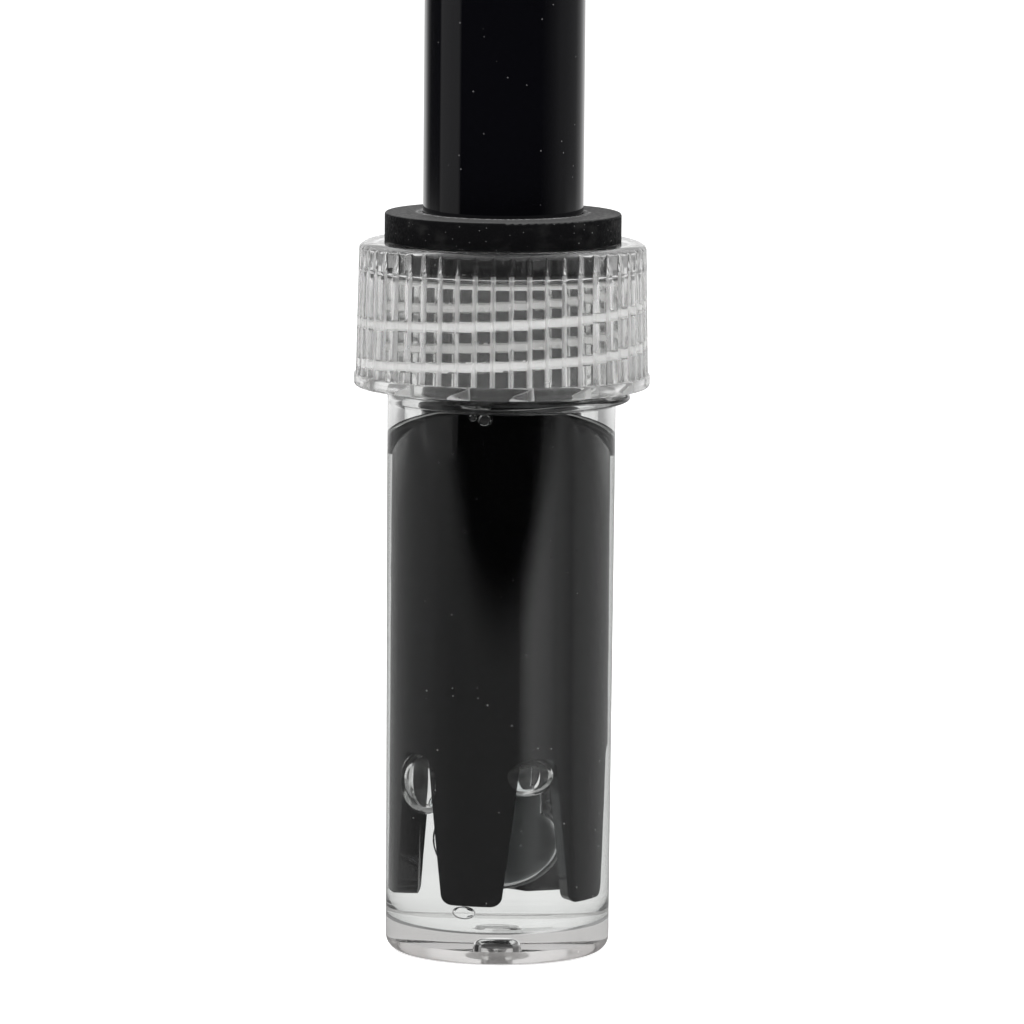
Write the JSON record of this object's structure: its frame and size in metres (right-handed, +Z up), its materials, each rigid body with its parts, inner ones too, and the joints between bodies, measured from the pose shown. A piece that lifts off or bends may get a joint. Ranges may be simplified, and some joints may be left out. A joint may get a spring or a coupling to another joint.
{
  "type": "ph electrode",
  "caption": "Combination pH electrode with a black slotted-guard shaft and a glass bulb, standing in a clear screw-capped storage bottle with a rubber grommet.",
  "frame": {"origin": "middle of the storage bottle's flat underside, where the part stands", "axes": "+Z up along the electrode's axis towards its head; -Y is the front that the picture shows"},
  "size_m": [0.0222, 0.0222, 0.1332],
  "materials": {
    "clear_plastic": "gloss",
    "cap_plastic": "gloss",
    "solution": "polished",
    "grommet_rubber": "matte",
    "shaft_plastic": "gloss",
    "head_plastic": "satin",
    "bulb_glass": "polished",
    "buffer": "polished",
    "gel": "satin",
    "silver_wire": "satin",
    "seal_rubber": "matte",
    "porous_ceramic": "matte",
    "sleeve_metal": "satin"
  },
  "bodies": {
    "bottle": {"storage_bottle": "clear_plastic", "storage_solution": "solution"},
    "grommet": {"sealing_grommet": "grommet_rubber"},
    "cap": {"bottle_cap": "cap_plastic"},
    "electrode": {"electrode_body": "shaft_plastic", "sensing_glass_tube": "bulb_glass", "inner_buffer": "buffer", "measuring_wire": "silver_wire", "stem_stopper": "seal_rubber", "stem_seal": "seal_rubber", "reference_junction": "porous_ceramic", "reference_gel": "gel", "reference_wire": "silver_wire", "chamber_seal": "seal_rubber", "crimp_sleeves": "sleeve_metal", "head_cap": "head_plastic"}
  },
  "joints": [
    {"name": "cap_rise", "type": "slide", "parent": "bottle", "child": "grommet", "axis": [0, 0, 1], "range_m": [0, 0.00675], "deforming": ["storage_solution"]},
    {"name": "cap_turn", "type": "hinge", "parent": "grommet", "child": "cap", "pos_m": [0, 0, 0.04805], "axis": [0, 0, 1], "range_deg": [0, 810]},
    {"name": "electrode_slide", "type": "slide", "parent": "grommet", "child": "electrode", "axis": [0, 0, 1], "range_m": [-0.0015, 0.0517], "deforming": ["storage_solution"]}
  ],
  "couplings": [
    {"joint": "cap_turn", "follows": "cap_rise", "rad_per_m": 2094.4}
  ]
}
